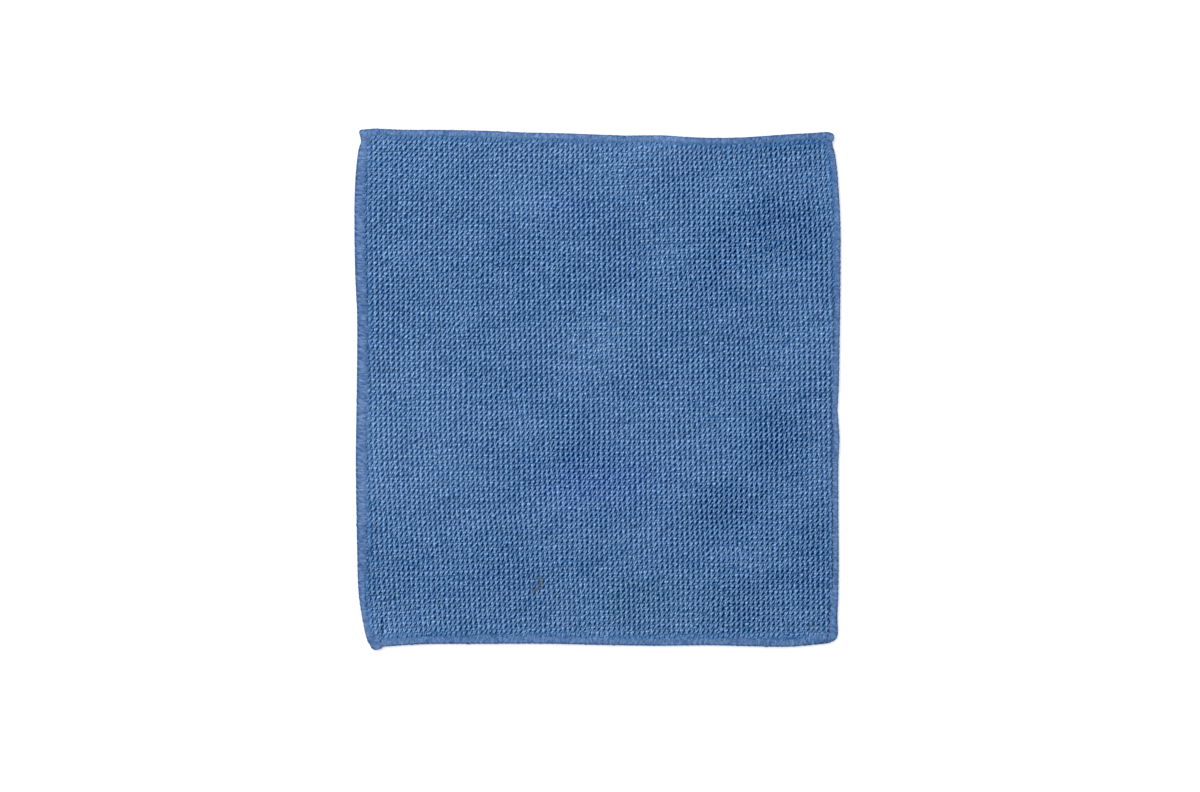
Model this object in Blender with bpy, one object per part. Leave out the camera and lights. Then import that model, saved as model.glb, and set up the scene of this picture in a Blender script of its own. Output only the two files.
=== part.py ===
"""Knitted microfibre cleaning cloth, lying spread on a flat surface.

One cut panel of thick knit, with its raw rim sewn round in three runs of overlock thread. The first
run goes along the bottom, round a rounded corner and up the right side. The second goes down the left
side, over the start of the first, and ends below it in a rounded tail. The third goes across the top,
over the ends of both, with a short tail at each side.

Metres, +Z up, +Y towards the top edge. The origin is under the middle of the cloth, on the surface.
"""

import math
from collections import namedtuple

import bmesh
import bpy
from mathutils import Vector

MM = 0.001

# Driving dimensions, in millimetres
CLOTH_WIDTH = 355.0
CLOTH_LENGTH = 381.0
KNIT_THICKNESS = 2.4
RIM_THICKNESS = 1.1  # the same knit, drawn tight inside the overlock
THREAD_COVER = 0.55  # overlock thread over each face of the rim
SEWN_GAP = 0.3  # between the knit and the thread, and between two runs
RIM_THREAD = 0.9  # thread round the cut rim, from the outer edge to the slot
OVERLOCK_WIDTH = 6.0  # the usual width; each edge's table has the width at each place
OVERLOCK_THICKNESS = RIM_THICKNESS + 2 * SEWN_GAP + 2 * THREAD_COVER
SHALLOW_SLOT = 0.4  # what is left of the slot where a run ends in a tail
INNER_CORNER_RADIUS = 1.2  # of the overlock's inner border in the one rounded corner
CORNER_STEPS = 6
CHORD_SLACK = 0.1  # because the knit's rim and the slot are both straight between their points
STATION_STEP = 10.0  # along an overlock run
GRID_STEP = 12.0  # across the knit panel
BORDER_CLEARANCE = 0.6  # flat knit past the thread, before it swells to full thickness
SWELL_WIDTH = 7.0  # over which it swells
RIPPLE_FADE = 22.0  # from the border to where the ripples have their full height
RESTING_LEVEL = 0.25  # of the summed ripples that still lies flat on the surface
SHARP_ANGLE_DEG = 50.0

HALF_WIDTH = CLOTH_WIDTH / 2
HALF_LENGTH = CLOTH_LENGTH / 2
RIM_INSET = RIM_THREAD + SEWN_GAP + CHORD_SLACK
RIM_UNDERSIDE = THREAD_COVER + SEWN_GAP

# Each edge, as a row for each place where it bends: how far along from the cloth's middle, how far
# the outer edge lies inside the overall width or length, and how wide the overlock is there
EdgeRow = namedtuple("EdgeRow", "along inset band")

LEFT_EDGE = [
    EdgeRow(along, inset, band)
    for along, inset, band in (
        (-184.0, 9.6, 9.7),
        (-179.5, 8.2, 11.1),
        (-175.5, 7.2, 8.3),
        (-169.0, 6.0, 7.2),
        (-158.0, 4.1, 6.8),
        (-143.0, 2.6, 6.6),
        (-117.0, 2.0, 6.5),
        (-81.0, 1.3, 6.5),
        (-48.0, 1.0, 6.5),
        (-8.0, 1.6, 6.5),
        (29.0, 2.0, 6.5),
        (58.0, 1.9, 6.5),
        (80.0, 0.7, 6.5),
        (116.0, 0.0, 6.5),
        (146.0, 0.3, 6.5),
        (164.0, 1.5, 6.1),
        (174.5, 2.8, 5.3),
        (177.5, 3.8, 4.8),
        (181.0, 5.0, 4.2),
        (183.7, 4.2, 4.4),
    )
]
RIGHT_EDGE = [
    EdgeRow(along, inset, band)
    for along, inset, band in (
        (-179.5, 2.0, 6.0),
        (-174.0, 2.0, 6.0),
        (-166.0, 2.3, 6.0),
        (-154.0, 1.7, 6.0),
        (-124.0, 1.3, 5.9),
        (-95.0, 1.5, 5.9),
        (-52.0, 1.5, 5.9),
        (-37.0, 0.7, 5.9),
        (-22.0, 1.7, 5.9),
        (-15.0, 2.2, 5.9),
        (-8.0, 1.8, 5.9),
        (7.0, 1.1, 5.8),
        (36.0, 0.7, 5.8),
        (65.0, 0.2, 5.8),
        (109.0, 0.0, 5.7),
        (124.0, 0.2, 5.6),
        (145.0, 1.3, 5.4),
        (164.0, 2.9, 5.0),
        (173.0, 4.2, 4.6),
        (177.0, 5.6, 4.3),
        (181.0, 6.2, 4.3),
    )
]
TOP_EDGE = [
    EdgeRow(along, inset, band)
    for along, inset, band in (
        (-171.9, 0.9, 5.6),
        (-162.0, 0.0, 6.5),
        (-144.0, 0.9, 6.4),
        (-112.0, 1.0, 6.3),
        (-83.0, 1.7, 6.3),
        (-54.0, 2.9, 6.3),
        (-25.0, 3.5, 6.3),
        (5.0, 4.7, 6.3),
        (20.0, 5.2, 6.3),
        (48.0, 5.0, 6.3),
        (63.0, 6.1, 6.3),
        (85.0, 6.9, 6.4),
        (107.0, 6.5, 6.4),
        (136.0, 4.5, 6.5),
        (159.0, 3.2, 6.6),
        (167.0, 2.6, 6.6),
        (170.6, 3.0, 6.2),
    )
]
BOTTOM_EDGE = [
    EdgeRow(along, inset, band)
    for along, inset, band in (
        (-157.9, 2.4, 6.0),
        (-141.0, 3.6, 6.0),
        (-122.0, 4.5, 5.9),
        (-83.0, 4.6, 5.9),
        (-39.0, 4.7, 5.9),
        (2.0, 3.8, 5.9),
        (48.0, 3.2, 5.9),
        (78.0, 3.6, 5.9),
        (107.0, 3.0, 5.9),
        (136.0, 2.4, 6.0),
        (151.0, 3.2, 6.0),
        (163.5, 4.5, 6.0),
    )
]

# One station of an overlock run: a point on its outer edge and one on its inner border, the depth of
# the slot that takes the knit, from the inner border, and the share of the thickness that is left
Station = namedtuple("Station", "outer inner slot press")

# The top run's tails, past the ends of TOP_EDGE, from the cloth outwards
TailRow = namedtuple("TailRow", "outer_x outer_y inner_x inner_y press")

TOP_LEFT_TAIL = [TailRow(-174.5, 188.6, -173.2, 184.2, 0.8)]
TOP_RIGHT_TAIL = [
    TailRow(172.4, 186.3, 172.0, 181.5, 0.9),
    TailRow(173.3, 184.5, 173.2, 182.8, 0.7),
]

# The left run's tail is half an ellipse below a last straight station
TAIL_STRAIGHT_Y = -187.5
TAIL_OUTER_X = -165.7
TAIL_INNER_X = -158.2
TAIL_STEPS = 4
TAIL_BLUNTNESS = 0.9  # share of the quarter turn that is built, so that it ends in a small flat
TAIL_TIP_PRESS = 0.6  # share of the thickness at its tip
LEFT_TAIL_RIM = (-166.2, -183.7)  # the knit's corner, inside the left run just above its tail

# The outer half of the overlock's section: share of its band, share of its thickness
SECTION = ((0.0, 0.5), (0.08, 0.86), (0.25, 1.0), (0.8, 1.0), (1.0, 0.87))

# The ripples that the cloth keeps from being folded: middle, direction, size and height
Ripple = namedtuple("Ripple", "x y turn_deg long wide high")

RIPPLES = [
    Ripple(*row)
    for row in (
        (-92.0, 30.0, 62.0, 150.0, 66.0, 1.5),
        (-42.0, 112.0, 24.0, 130.0, 58.0, 1.3),
        (44.0, 142.0, 30.0, 110.0, 60.0, 1.1),
        (72.0, 56.0, 52.0, 120.0, 60.0, 1.3),
        (-28.0, -42.0, 18.0, 130.0, 44.0, 1.2),
        (80.0, -72.0, 38.0, 120.0, 54.0, 1.4),
        (142.0, 134.0, 68.0, 90.0, 42.0, 1.2),
        (-104.0, 138.0, 40.0, 80.0, 48.0, 0.9),
        (4.0, -112.0, 12.0, 140.0, 52.0, 1.3),
        (-136.0, -108.0, 56.0, 110.0, 48.0, 1.2),
        (108.0, -146.0, 20.0, 130.0, 44.0, 1.1),
        (146.0, -40.0, 64.0, 90.0, 44.0, 1.3),
    )
]

KNIT_COLOUR = "#4d6f9d"
THREAD_COLOUR = "#5a7dad"
CLOTH_ROUGHNESS = 0.9


def along_edge(rows, along, column):
    """Read a column of an edge's table at any place along it, on a smooth curve through its rows."""
    places = [row.along for row in rows]
    values = [getattr(row, column) for row in rows]
    last = len(rows) - 1
    here = min(max(along, places[0]), places[last])
    k = 0
    while k < last - 1 and places[k + 1] < here:
        k += 1
    span = places[k + 1] - places[k]

    def slope(i):
        before = max(i - 1, 0)
        after = min(i + 1, last)
        return (values[after] - values[before]) / (places[after] - places[before])

    t = (here - places[k]) / span
    value = values[k] * (1 + 2 * t) * (1 - t) ** 2 + values[k + 1] * t * t * (3 - 2 * t)
    value += span * (slope(k) * t * (1 - t) ** 2 - slope(k + 1) * t * t * (1 - t))
    return max(value, 0.0)


def places_along(rows):
    """The rows' own places, with even steps between those that lie far apart."""
    places = [rows[0].along]
    for row in rows[1:]:
        start = places[-1]
        steps = max(1, round((row.along - start) / STATION_STEP))
        places += [start + (row.along - start) * (i + 1) / steps for i in range(steps)]
    return places


def side_point(side, along, inset):
    """A point so far along one side of the cloth, and so far in from its overall size."""
    if side == "left":
        return (-HALF_WIDTH + inset, along)
    if side == "right":
        return (HALF_WIDTH - inset, along)
    if side == "top":
        return (along, HALF_LENGTH - inset)
    return (along, -HALF_LENGTH + inset)


def edge_stations(side, rows):
    stations = []
    for along in places_along(rows):
        inset = along_edge(rows, along, "inset")
        band = along_edge(rows, along, "band")
        outer = side_point(side, along, inset)
        inner = side_point(side, along, inset + band)
        stations.append(Station(outer, inner, band - RIM_THREAD, 1.0))
    return stations


def tail_stations(rows):
    return [
        Station((row.outer_x, row.outer_y), (row.inner_x, row.inner_y), SHALLOW_SLOT, row.press)
        for row in rows
    ]


def round_tail_stations():
    """The left run's rounded tail, from its tip up to its last straight station."""
    middle = (TAIL_OUTER_X + TAIL_INNER_X) / 2
    half = (TAIL_INNER_X - TAIL_OUTER_X) / 2
    full_turn = math.pi / 2 * TAIL_BLUNTNESS
    reach = (HALF_LENGTH + TAIL_STRAIGHT_Y) / math.sin(full_turn)
    stations = []
    for step in range(TAIL_STEPS, -1, -1):
        turn = full_turn * step / TAIL_STEPS
        y = TAIL_STRAIGHT_Y - reach * math.sin(turn)
        width = half * math.cos(turn)
        press = TAIL_TIP_PRESS + (1 - TAIL_TIP_PRESS) * math.cos(turn)
        slot = min(SHALLOW_SLOT, width)
        stations.append(Station((middle - width, y), (middle + width, y), slot, press))
    return stations


def corner_point(turn, inset):
    """A point in the rounded corner, a quarter of an ellipse, turned from the bottom to the right."""
    centre_x = BOTTOM_EDGE[-1].along
    centre_y = RIGHT_EDGE[0].along
    reach_x = HALF_WIDTH - RIGHT_EDGE[0].inset - centre_x
    reach_y = HALF_LENGTH - BOTTOM_EDGE[-1].inset + centre_y
    x = centre_x + (reach_x - inset) * math.sin(turn)
    y = centre_y - (reach_y - inset) * math.cos(turn)
    return (x, y)


def corner_stations(before, after):
    """Turn the first run from its last bottom station to its first right one."""
    inner_x = after.inner[0] - INNER_CORNER_RADIUS
    inner_y = before.inner[1] + INNER_CORNER_RADIUS
    stations = []
    for step in range(1, CORNER_STEPS):
        turn = math.pi / 2 * step / CORNER_STEPS
        outer = corner_point(turn, 0.0)
        across = INNER_CORNER_RADIUS * math.sin(turn)
        down = INNER_CORNER_RADIUS * math.cos(turn)
        inner = (inner_x + across, inner_y - down)
        slot = math.dist(outer, inner) - RIM_THREAD
        stations.append(Station(outer, inner, slot, 1.0))
    return stations


def section_points(station):
    """One C-shaped section of the overlock: thread over both faces and a slot between them."""
    band = math.dist(station.outer, station.inner)
    slot_start = 1.0 - station.slot / band
    lip = THREAD_COVER / OVERLOCK_THICKNESS
    upper = list(SECTION)
    slot = [(1.0, 1 - lip), (slot_start, 1 - lip), (slot_start, lip), (1.0, lip)]
    lower = [(share, 1 - height) for share, height in reversed(SECTION[1:])]
    points = []
    for share, height in upper + slot + lower:
        x = station.outer[0] + share * (station.inner[0] - station.outer[0])
        y = station.outer[1] + share * (station.inner[1] - station.outer[1])
        pressed = 0.5 + (height - 0.5) * station.press
        points.append((x * MM, y * MM, pressed * OVERLOCK_THICKNESS * MM))
    return points


def linear(hex_colour):
    """The linear values of an sRGB colour such as #4d6f9d."""
    shares = [int(hex_colour[i : i + 2], 16) / 255 for i in (1, 3, 5)]
    return [s / 12.92 if s <= 0.04045 else ((s + 0.055) / 1.055) ** 2.4 for s in shares]


def cloth_material(name, hex_colour):
    material = bpy.data.materials.new(name)
    material.use_nodes = True
    shader = material.node_tree.nodes["Principled BSDF"]
    shader.inputs["Base Color"].default_value = (*linear(hex_colour), 1.0)
    shader.inputs["Roughness"].default_value = CLOTH_ROUGHNESS
    shader.inputs["Metallic"].default_value = 0.0
    return material


def add_object(name, mesh_builder, material, parent):
    """Turn a bmesh into a named object with its outward faces, material and parent."""
    bmesh.ops.recalc_face_normals(mesh_builder, faces=mesh_builder.faces)
    bmesh.ops.triangulate(mesh_builder, faces=mesh_builder.faces)
    mesh = bpy.data.meshes.new(name)
    mesh_builder.to_mesh(mesh)
    mesh_builder.free()
    mesh.shade_smooth()
    mesh.set_sharp_from_angle(angle=math.radians(SHARP_ANGLE_DEG))
    mesh.materials.append(material)
    cloth_object = bpy.data.objects.new(name, mesh)
    cloth_object.parent = parent
    bpy.context.scene.collection.objects.link(cloth_object)
    return cloth_object


def overlock_run(name, stations, material, parent):
    """Loft the overlock's section along a run and close both ends."""
    builder = bmesh.new()
    rings = [[builder.verts.new(point) for point in section_points(s)] for s in stations]
    count = len(rings[0])
    for ring, next_ring in zip(rings, rings[1:]):
        for i in range(count):
            j = (i + 1) % count
            builder.faces.new((ring[i], ring[j], next_ring[j], next_ring[i]))
    builder.faces.new(rings[0])
    builder.faces.new(rings[-1])
    return add_object(name, builder, material, parent)


def grid_shares(length):
    """Shares across the panel between its borders: the swell at each side and even steps between."""
    swell = SWELL_WIDTH / length
    steps = round((length - 2 * SWELL_WIDTH) / GRID_STEP)
    return [0.0] + [swell + (1 - 2 * swell) * i / steps for i in range(steps + 1)] + [1.0]


def border_point(side, rows, along):
    """A point just past the overlock, where the knit begins to swell."""
    inset = along_edge(rows, along, "inset") + along_edge(rows, along, "band")
    return side_point(side, along, inset + BORDER_CLEARANCE)


def rim_point(side, rows, along):
    """A point on the knit's cut rim, which runs straight past small notches in the thread."""
    reach = GRID_STEP / 2
    nearby = [along_edge(rows, along + shift, "inset") for shift in (-reach, -reach / 2, 0, reach)]
    return side_point(side, along, max(nearby) + RIM_INSET)


def border_corner(side, side_row, edge, edge_row):
    """Where the border beside one edge meets the border along the top or bottom."""
    x = side_point(side, 0.0, side_row.inset + side_row.band + BORDER_CLEARANCE)[0]
    y = side_point(edge, 0.0, edge_row.inset + edge_row.band + BORDER_CLEARANCE)[1]
    return Vector((x, y))


def field_points():
    """The knit between its borders, as columns of points blended from its four border lines."""
    bottom_left = border_corner("left", LEFT_EDGE[0], "bottom", BOTTOM_EDGE[0])
    bottom_right = border_corner("right", RIGHT_EDGE[0], "bottom", BOTTOM_EDGE[-1])
    top_left = border_corner("left", LEFT_EDGE[-1], "top", TOP_EDGE[0])
    top_right = border_corner("right", RIGHT_EDGE[-1], "top", TOP_EDGE[-1])
    columns = []
    for u in grid_shares(CLOTH_WIDTH):
        bottom_x = bottom_left.lerp(bottom_right, u).x
        top_x = top_left.lerp(top_right, u).x
        bottom = Vector(border_point("bottom", BOTTOM_EDGE, bottom_x))
        top = Vector(border_point("top", TOP_EDGE, top_x))
        column = []
        for v in grid_shares(CLOTH_LENGTH):
            left_y = bottom_left.lerp(top_left, v).y
            right_y = bottom_right.lerp(top_right, v).y
            left = Vector(border_point("left", LEFT_EDGE, left_y))
            right = Vector(border_point("right", RIGHT_EDGE, right_y))
            corners = bottom_left.lerp(bottom_right, u).lerp(top_left.lerp(top_right, u), v)
            column.append(bottom.lerp(top, v) + left.lerp(right, u) - corners)
        columns.append(column)
    return columns


def panel_points():
    """The whole knit panel as columns of points: its field, with its rim round the outside."""
    field = field_points()
    left_rim = [rim_point("left", LEFT_EDGE, point.y) for point in field[0]]
    right_rim = [rim_point("right", RIGHT_EDGE, point.y) for point in field[-1]]
    bottom_rim = [rim_point("bottom", BOTTOM_EDGE, column[0].x) for column in field]
    top_rim = [rim_point("top", TOP_EDGE, column[-1].x) for column in field]
    bottom_rim[-1], bottom_right, right_rim[0] = (
        corner_point(math.radians(turn_deg), RIM_INSET) for turn_deg in (30, 60, 90)
    )
    top_left = (left_rim[-1][0], top_rim[0][1])
    top_right = (right_rim[-1][0], top_rim[-1][1])
    columns = [[LEFT_TAIL_RIM] + left_rim + [top_left]]
    for low, column, high in zip(bottom_rim, field, top_rim):
        columns.append([low] + column + [high])
    columns.append([bottom_right] + right_rim + [top_right])
    return columns


def ripple_height(x, y):
    """How far the cloth lifts off the surface, from its ripples."""
    total = 0.0
    for ripple in RIPPLES:
        turn = math.radians(ripple.turn_deg)
        along = (x - ripple.x) * math.cos(turn) + (y - ripple.y) * math.sin(turn)
        across = (y - ripple.y) * math.cos(turn) - (x - ripple.x) * math.sin(turn)
        reach = math.hypot(along / (ripple.long / 2), across / (ripple.wide / 2))
        if reach < 1.0:
            total += ripple.high * math.cos(reach * math.pi / 2) ** 2
    return max(0.0, total - RESTING_LEVEL)


def ripple_fade(x, y):
    """Ripples die away towards the sewn edges, which lie flat."""
    margin = min(HALF_WIDTH - abs(x), HALF_LENGTH - abs(y)) - OVERLOCK_WIDTH - SWELL_WIDTH
    share = min(max(margin / RIPPLE_FADE, 0.0), 1.0)
    return share * share * (3 - 2 * share)


def knit_levels(x, y, in_overlock):
    """The heights of the knit's underside and top."""
    if in_overlock:
        return RIM_UNDERSIDE, RIM_UNDERSIDE + RIM_THICKNESS
    lift = ripple_height(x, y) * ripple_fade(x, y)
    return lift, lift + KNIT_THICKNESS


def knit_panel(material, parent):
    """One closed sheet: full thickness in the field, drawn tight along its sewn rim."""
    builder = bmesh.new()
    columns = panel_points()
    last_column = len(columns) - 1
    last_row = len(columns[0]) - 1
    under = []
    upper = []
    for i, column in enumerate(columns):
        under.append([])
        upper.append([])
        for j, (x, y) in enumerate(column):
            in_overlock = min(i, last_column - i, j, last_row - j) < 2
            low, high = knit_levels(x, y, in_overlock)
            under[i].append(builder.verts.new((x * MM, y * MM, low * MM)))
            upper[i].append(builder.verts.new((x * MM, y * MM, high * MM)))
    for i in range(last_column):
        for j in range(last_row):
            for sheet in (under, upper):
                builder.faces.new((sheet[i][j], sheet[i + 1][j], sheet[i + 1][j + 1], sheet[i][j + 1]))
    rim = [(i, 0) for i in range(last_column)]
    rim += [(last_column, j) for j in range(last_row)]
    rim += [(i, last_row) for i in range(last_column, 0, -1)]
    rim += [(0, j) for j in range(last_row, 0, -1)]
    for (i, j), (k, m) in zip(rim, rim[1:] + rim[:1]):
        builder.faces.new((under[i][j], under[k][m], upper[k][m], upper[i][j]))
    return add_object("knit_panel", builder, material, parent)


def main():
    for old in list(bpy.data.objects):
        bpy.data.objects.remove(old, do_unlink=True)
    cloth = bpy.data.objects.new("microfibre_cloth", None)
    bpy.context.scene.collection.objects.link(cloth)
    knit = cloth_material("microfibre_knit", KNIT_COLOUR)
    thread = cloth_material("overlock_thread", THREAD_COLOUR)

    knit_panel(knit, cloth)
    bottom = edge_stations("bottom", BOTTOM_EDGE)
    right = edge_stations("right", RIGHT_EDGE)
    corner = corner_stations(bottom[-1], right[0])
    overlock_run("overlock_bottom_right", bottom + corner + right, thread, cloth)
    left = round_tail_stations() + edge_stations("left", LEFT_EDGE)
    overlock_run("overlock_left", left, thread, cloth)
    left_tail = tail_stations(TOP_LEFT_TAIL)
    right_tail = tail_stations(TOP_RIGHT_TAIL)
    top = left_tail + edge_stations("top", TOP_EDGE) + right_tail
    overlock_run("overlock_top", top, thread, cloth)


main()
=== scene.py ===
import math
from collections import namedtuple

import bmesh
import bpy
import numpy as np
from mathutils.bvhtree import BVHTree
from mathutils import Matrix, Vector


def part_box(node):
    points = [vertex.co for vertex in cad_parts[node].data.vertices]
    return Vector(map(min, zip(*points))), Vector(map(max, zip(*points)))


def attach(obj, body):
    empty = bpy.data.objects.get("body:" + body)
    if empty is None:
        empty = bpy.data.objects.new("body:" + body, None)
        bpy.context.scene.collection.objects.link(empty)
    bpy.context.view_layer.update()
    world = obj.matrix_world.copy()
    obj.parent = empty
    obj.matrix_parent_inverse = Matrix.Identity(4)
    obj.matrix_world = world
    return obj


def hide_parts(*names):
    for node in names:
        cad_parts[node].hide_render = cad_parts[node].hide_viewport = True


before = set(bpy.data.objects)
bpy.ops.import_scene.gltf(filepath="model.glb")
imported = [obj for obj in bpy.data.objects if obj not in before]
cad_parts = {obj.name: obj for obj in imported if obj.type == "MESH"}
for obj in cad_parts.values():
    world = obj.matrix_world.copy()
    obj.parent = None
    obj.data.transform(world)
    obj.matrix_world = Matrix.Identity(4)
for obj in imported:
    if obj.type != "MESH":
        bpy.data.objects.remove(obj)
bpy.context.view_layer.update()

MM = 0.001
RANDOM = np.random.default_rng(2024)  # the same cloth on every run


def rows_of(kind, *rows):
    """A table's rows, with names for their columns."""
    return [kind(*row) for row in rows]


# The knit, counted on the real cloth
WALE_PITCH = 3.70
COURSE_PITCH = 3.97
WALES = 102
COURSES = 101
FLAT_SIZE = (0.355, 0.381)  # in metres
KNIT_THICKNESS = 2.4
KNIT_TUCK = 2.5  # how far under the overlock's inner border the last stitches stand
TUCK_LIMIT = 2.9  # how far their ends may reach under it
PINCH = 0.28  # how far the knit sinks for each millimetre that it runs on under the overlock

# How far the wales lean (bottom to the right) and the courses rise to the right, in degrees: a row for
# the top, middle and bottom of the cloth, each from left to right
WALE_LEAN = ((0.0, 0.8, 4.3), (2.0, 1.5, 1.5), (6.0, 2.0, 0.0))
COURSE_RISE = ((-2.3, 0.6, 4.6), (0.8, 0.8, 2.0), (2.3, 1.8, 0.5))

# The layers of the knit, as shares of its thickness from its underside
GROUND_LOW, GROUND_HIGH = 0.30, 0.48
FACE_ROOT, FACE_CROWN = 0.40, 1.06
BACK_ROOT, BACK_CROWN = 0.38, 0.0

# Creases that folding left: middle, direction, size and height (troughs are negative)
Crease = namedtuple("Crease", "x y turn_deg long wide high")
CREASES = rows_of(
    Crease,
    (146.0, -56.0, 27.0, 34.0, 4.5, 0.75),
    (148.0, -61.0, 27.0, 32.0, 4.0, -0.65),
    (19.0, 107.0, 4.0, 26.0, 5.0, 0.45),
    (20.0, 102.5, 4.0, 24.0, 4.5, -0.35),
    (-157.5, -173.5, 94.0, 19.0, 2.8, -0.6),
)
CREASE_PAINTED_LIGHT = 0.10  # painted light and shade: how much lighter a ridge is painted for each millimetre of height, and a trough darker

# Patches that look lighter or darker than the rest: middle, reach to each side, and share of the tone. The
# last three are the two side bands and the narrow line beside the tail, where the first run starts; that
# line is painted shade
Patch = namedtuple("Patch", "x y wide high tone")
PATCHES = rows_of(
    Patch,
    (-40.0, 178.0, 140.0, 30.0, 0.105),
    (48.0, 176.0, 36.0, 24.0, 0.115),
    (-165.0, 178.0, 25.0, 25.0, 0.07),
    (-50.0, 138.0, 50.0, 26.0, 0.115),
    (-165.0, -45.0, 30.0, 80.0, 0.14),
    (-120.0, -50.0, 60.0, 80.0, 0.105),
    (-135.0, 20.0, 40.0, 36.0, 0.115),
    (-108.0, 65.0, 30.0, 20.0, 0.055),
    (-20.0, 20.0, 70.0, 30.0, 0.08),
    (-53.0, -26.0, 24.0, 20.0, 0.07),
    (55.0, -40.0, 30.0, 40.0, 0.07),
    (160.0, 45.0, 24.0, 50.0, 0.07),
    (-165.0, -172.0, 40.0, 20.0, 0.105),
    (-30.0, -82.0, 24.0, 16.0, 0.055),
    (120.0, 115.0, 60.0, 44.0, -0.185),
    (75.0, 85.0, 44.0, 36.0, -0.14),
    (-55.0, 92.0, 70.0, 26.0, -0.09),
    (-15.0, 78.0, 30.0, 24.0, -0.07),
    (100.0, -88.0, 56.0, 34.0, -0.16),
    (135.0, -35.0, 36.0, 50.0, -0.105),
    (-16.0, -52.0, 60.0, 30.0, -0.08),
    (-60.0, -125.0, 90.0, 30.0, -0.08),
    (-130.0, -140.0, 40.0, 30.0, -0.07),
    (20.0, -150.0, 40.0, 26.0, -0.07),
    (110.0, -150.0, 80.0, 40.0, -0.105),
    (160.0, -120.0, 30.0, 40.0, -0.09),
    (-65.0, 0.0, 34.0, 20.0, -0.055),
    (145.0, 175.0, 50.0, 24.0, -0.055),
    (174.0, -70.0, 8.0, 170.0, 0.09),
    (-174.0, -62.0, 8.0, 60.0, -0.08),
    # Painted shade along the step where the first run starts
    (-157.5, -172.0, 1.2, 16.0, -0.9),
)

# Places where the blue is a little more violet (over 0) or greener (under 0)
CASTS = rows_of(
    Patch,
    (0.0, -65.0, 85.0, 42.0, 1.8),
    (-20.0, 135.0, 60.0, 30.0, 0.8),
    (20.0, 40.0, 90.0, 30.0, -0.8),
    (40.0, -155.0, 130.0, 36.0, -1.0),
    (-38.2, -147.5, 3.6, 3.6, 3.0),
)

# Soil that the cloth has picked up: middle, direction, length, width and strength
Soil = namedtuple("Soil", "x y turn_deg long wide strength")
BROWN_SOIL = rows_of(
    Soil,
    (-40.8, -141.4, 98.0, 10.0, 6.4, 0.60),
    (-42.8, -144.8, 40.0, 9.0, 6.0, 0.55),
    (-46.0, -147.6, 20.0, 6.6, 5.0, 0.64),
)
GREEN_SOIL = rows_of(
    Soil,
    (-42.2, -137.4, 150.0, 9.0, 6.6, 0.7),
    (160.0, 172.0, -35.0, 11.0, 7.0, 0.5),
    (157.0, -171.0, 60.0, 9.0, 7.0, 0.5),
    (-167.0, 181.0, 0.0, 9.0, 6.0, 0.45),
)

# The overlock: one stitch along the run, with two looper legs on each face
OVERLOCK_PITCH = 4.1
LEG_PITCH = OVERLOCK_PITCH / 2
LEG_OVERLAP = 1.7  # a leg's width against its share of the run
LEG_THICKNESS = 0.5
LEG_SLANT = 0.5  # how far a leg drifts along the run from border to rim
KNOT_SIZE = (2.8, 0.6, 1.1)  # long, wide and high
KNOT_INSET, KNOT_LEVEL = 0.05, 0.0  # shares of the band from its outer edge, and of its half thickness
NEEDLE_SIZE = (2.9, 0.6, 0.3)
NEEDLE_INSET, NEEDLE_LEVEL = 0.86, 0.90
THREAD_LIFT, THREAD_SPECKS = 0.70, 0.17  # how light the thread looks, and how mottled
RIM_DOT_SHADE = 0.5  # how much painted shade darkens every other leg where it turns round the rim
RIM_LEVEL = 1.4  # height of the outermost thread over the surface


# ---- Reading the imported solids


def tree_of(node):
    """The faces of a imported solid, in millimetres, ready for casting lines at."""
    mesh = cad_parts[node].data
    corners = [vertex.co / MM for vertex in mesh.vertices]
    return BVHTree.FromPolygons(corners, [tuple(face.vertices) for face in mesh.polygons])


def met(tree, start, way):
    """The place where a line first meets a solid, or None."""
    place = tree.ray_cast(start, way)[0]
    return None if place is None else np.array(place)


PROBE_HEIGHT = 20.0  # well above the cloth, and as far below it


def top_and_underside(tree, x, y):
    """The levels of a solid's top and underside at a place, or None twice if it isn't there."""
    top = met(tree, (x, y, PROBE_HEIGHT), (0, 0, -1))
    under = met(tree, (x, y, -PROBE_HEIGHT), (0, 0, 1))
    return (None, None) if top is None or under is None else (top[2], under[2])


def soften(grid, reach):
    """Blur a grid with a bell curve of so many cells."""
    steps = np.arange(-3 * reach, 3 * reach + 1)
    bell = np.exp(-0.5 * (steps / reach) ** 2)
    bell /= bell.sum()
    for axis in (0, 1):
        edge = [(0, 0), (0, 0)]
        edge[axis] = (3 * reach, 3 * reach)
        padded = np.pad(grid, edge, mode="edge")
        grid = np.apply_along_axis(lambda line: np.convolve(line, bell, "valid"), axis, padded)
    return grid


def fill_outwards(grid):
    """Carry the levels at the rim of a grid on outwards, over its empty cells."""
    while np.isnan(grid).any():
        padded = np.pad(grid, 1, constant_values=np.nan)
        sides = (padded[2:, 1:-1], padded[:-2, 1:-1], padded[1:-1, 2:], padded[1:-1, :-2])
        known = sum(np.where(np.isnan(side), 0.0, 1.0) for side in sides)
        total = sum(np.nan_to_num(side) for side in sides)
        mean = np.where(known > 0, total / np.maximum(known, 1.0), np.nan)
        grid = np.where(np.isnan(grid), mean, grid)
    return grid


LEVEL_STEP = 2.5
LEVEL_REACH_X, LEVEL_REACH_Y = 180.0, 192.5
LEVEL_BLUR = 3  # steps


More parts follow.
